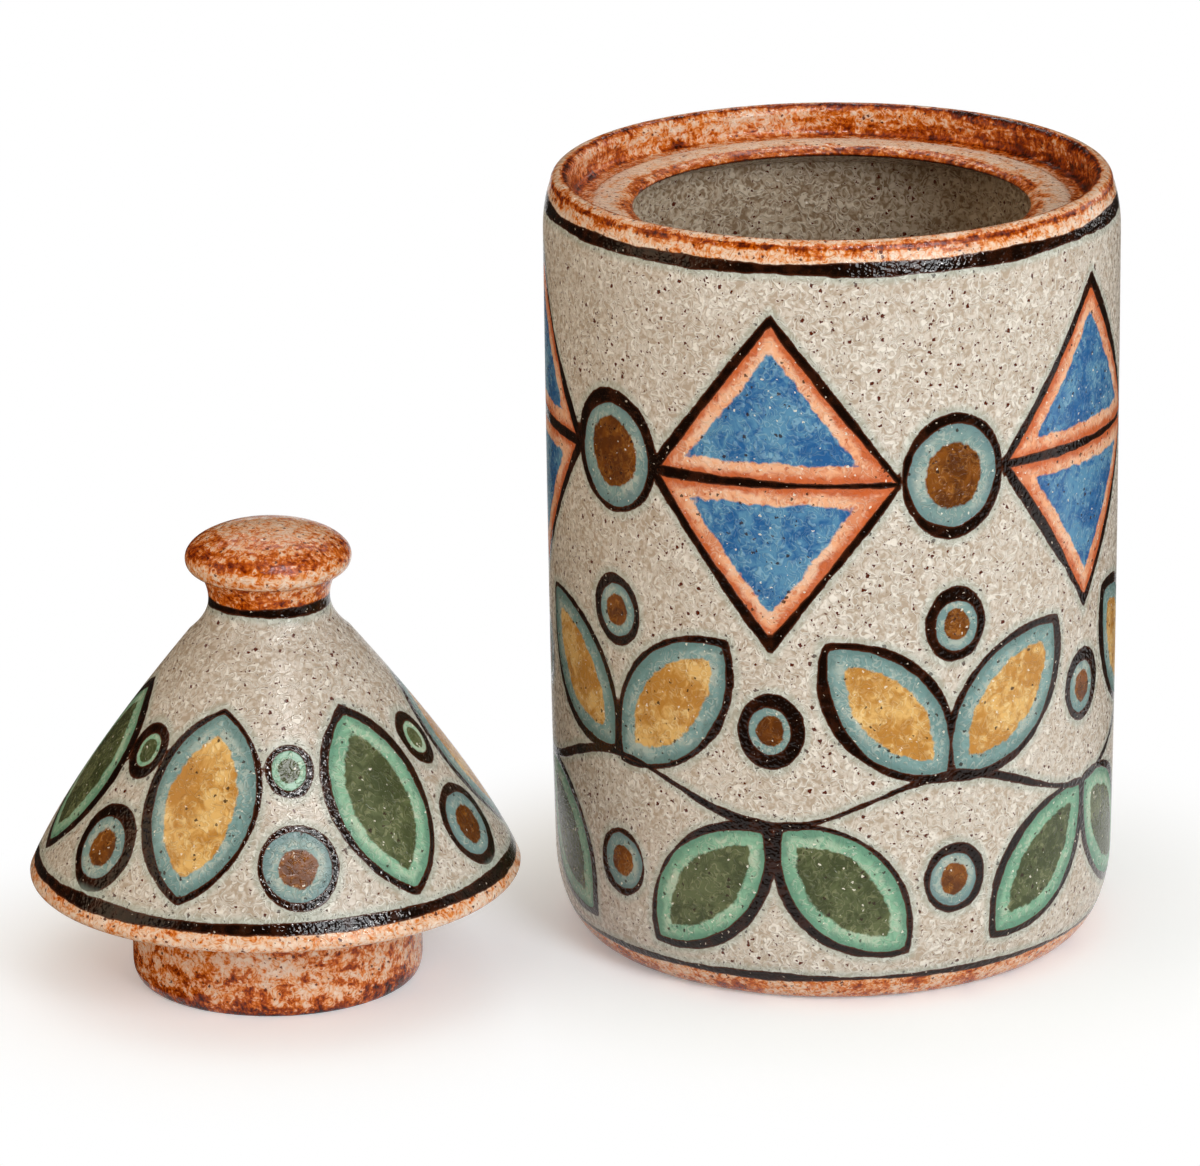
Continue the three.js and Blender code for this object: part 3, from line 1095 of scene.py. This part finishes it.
seen = sums(tree, "ADD", seen, rays["Is Transmission Ray"], clamp=True)
lift = place(tree, "ShaderNodeEmission", {"Strength": sums(tree, "MULTIPLY", seen, table_lift)})
near = place(tree, "ShaderNodeAddShader", {0: card.outputs[0], 1: lift.outputs[0]})
spot = place(tree, "ShaderNodeTexCoord").outputs["Object"]
clear = []
for foot, radius in feet:
    apart = place(tree, "ShaderNodeVectorMath", {0: spot, 1: foot}, operation="DISTANCE")
    clear.append(sums(tree, "SUBTRACT", apart.outputs["Value"], radius))
beyond = between(tree, sums(tree, "MINIMUM", *clear), 0.0, shadow_reach)
beyond = sums(tree, "MULTIPLY", beyond, seen)
far = place(tree, "ShaderNodeEmission")
whole = place(tree, "ShaderNodeMixShader", {0: beyond, 1: near.outputs[0], 2: far.outputs[0]})
place(tree, "ShaderNodeOutputMaterial", {"Surface": whole.outputs[0]})
table_mesh.materials.append(table_paint)


# Studio light: a large box in front on the right, a weak one overhead, a warm one on the left, and
# four lamps that only reflections show. They all face the pots.
lamp_aim = (-0.05, -0.01, 0.1)


def soft_box(name, place_at, size, watts, only_gloss=False, colour=(1.0, 1.0, 1.0)):
    """A rectangle of light aimed at the pots, which the camera doesn't see."""
    lamp = bpy.data.lights.new(name, "AREA")
    lamp.color = colour
    lamp.shape = "RECTANGLE"
    lamp.size, lamp.size_y = size
    lamp.energy = watts
    box = bpy.data.objects.new(name, lamp)
    box.location = place_at
    box.rotation_mode = "QUATERNION"
    box.rotation_quaternion = (Vector(lamp_aim) - Vector(place_at)).to_track_quat("-Z", "Y")
    box.visible_camera = False
    box.visible_diffuse = not only_gloss
    bpy.context.scene.collection.objects.link(box)


soft_box("key_light", (0.95, -1.78, 0.95), (0.8, 1.1), 30.5, colour=(0.93, 0.97, 1.0))
soft_box("top_light", (-0.1, 0.0, 1.9), (1.0, 1.0), 2)
soft_box("side_fill", (-2.0, -0.5, 0.7), (1.2, 1.2), 7, colour=(1.0, 0.76, 0.52))
soft_box("gloss_strip", (1.5, -1.5, 0.9), (0.06, 0.5), 13, only_gloss=True)
soft_box("gloss_bar", (0.3, -1.3, 1.8), (1.0, 0.08), 26, only_gloss=True)
soft_box("back_bar", (0.0, 1.3, 1.5), (1.6, 0.12), 8, only_gloss=True)
soft_box("gloss_panel", (1.6, 1.2, 0.6), (1.0, 1.0), 7, only_gloss=True)

# Grey cards keep the white room out of the reflections, so that dark glaze stays dark: three on the
# floor round the pots' own ground, one at each of the four sides, and two overhead with a slot between
# them over the front. Only reflections show them.
flag_cloth = bpy.data.materials.new("flag_cloth")
flag_cloth.use_nodes = True
flag_shader = flag_cloth.node_tree.nodes["Principled BSDF"]
flag_shader.inputs["Base Color"].default_value = shade(60, 58, 56)
flag_shader.inputs["Roughness"].default_value = 1.0
flag_shader.inputs["Specular IOR Level"].default_value = 0.0
room = 2.6
room_front = -2.8
room_back = 1.6
floor_cards = [
    [(-room, -0.3), (0.0, -0.2), (room, -0.3), (room, room_front), (-room, room_front)],
    [(-0.26, -0.25), (-room, -0.3), (-room, room_back), (-0.35, room_back), (-0.12, 0.12)],
    [(0.12, 0.08), (room, 0.3), (room, room_back), (0.35, room_back)],
]
card_lifts = (0.002, 0.003, 0.003)
flag_cards = [[(x, y, z) for x, y in spots] for spots, z in zip(floor_cards, card_lifts)]
flag_cards += [
    [(-room, room_front, 0), (room, room_front, 0), (room, room_front, 1.6), (-room, room_front, 1.6)],
    [(-room, room_front, 1.6), (room, room_front, 1.6), (room, -0.9, 2.8), (-room, -0.9, 2.8)],
    [(-room, room_front, 0), (-room, room_back, 0), (-room, room_back, 2.2), (-room, room_front, 1.6)],
    [(room, room_front, 0), (room, room_back, 0), (room, room_back, 2.2), (room, room_front, 1.6)],
    [(-room, room_back, 0), (room, room_back, 0), (room, room_back, 2.2), (-room, room_back, 2.2)],
    [(-room, -0.45, 2.8), (room, -0.45, 2.8), (room, room_back, 2.2), (-room, room_back, 2.2)],
]
for corners in flag_cards:
    flag_mesh = bpy.data.meshes.new("flag")
    flag_mesh.from_pydata(corners, [], [tuple(range(len(corners)))])
    flag_mesh.materials.append(flag_cloth)
    flag = bpy.data.objects.new("flag", flag_mesh)
    flag.visible_camera = False
    flag.visible_diffuse = False
    flag.visible_shadow = False
    flag.visible_transmission = False
    bpy.context.scene.collection.objects.link(flag)

# The white room: plain white to the camera and in reflections, and dimmer and warmer as light.
world_strength = 0.545
world_colour = (1.0, 0.87, 0.7, 1)
world = bpy.data.worlds.new("studio")
bpy.context.scene.world = world
world.use_nodes = True
tree = world.node_tree
for node in list(tree.nodes):
    tree.nodes.remove(node)
path = place(tree, "ShaderNodeLightPath").outputs
bright = sums(tree, "MAXIMUM", path["Is Camera Ray"], path["Is Glossy Ray"])
bright = sums(tree, "MAXIMUM", bright, path["Is Transmission Ray"])
strength = blended(tree, bright, world_strength, 1.0)
tint = mixed(tree, bright, world_colour, (1, 1, 1, 1))
white = place(tree, "ShaderNodeBackground", {"Color": tint, "Strength": strength})
place(tree, "ShaderNodeOutputWorld", {"Surface": white.outputs[0]})
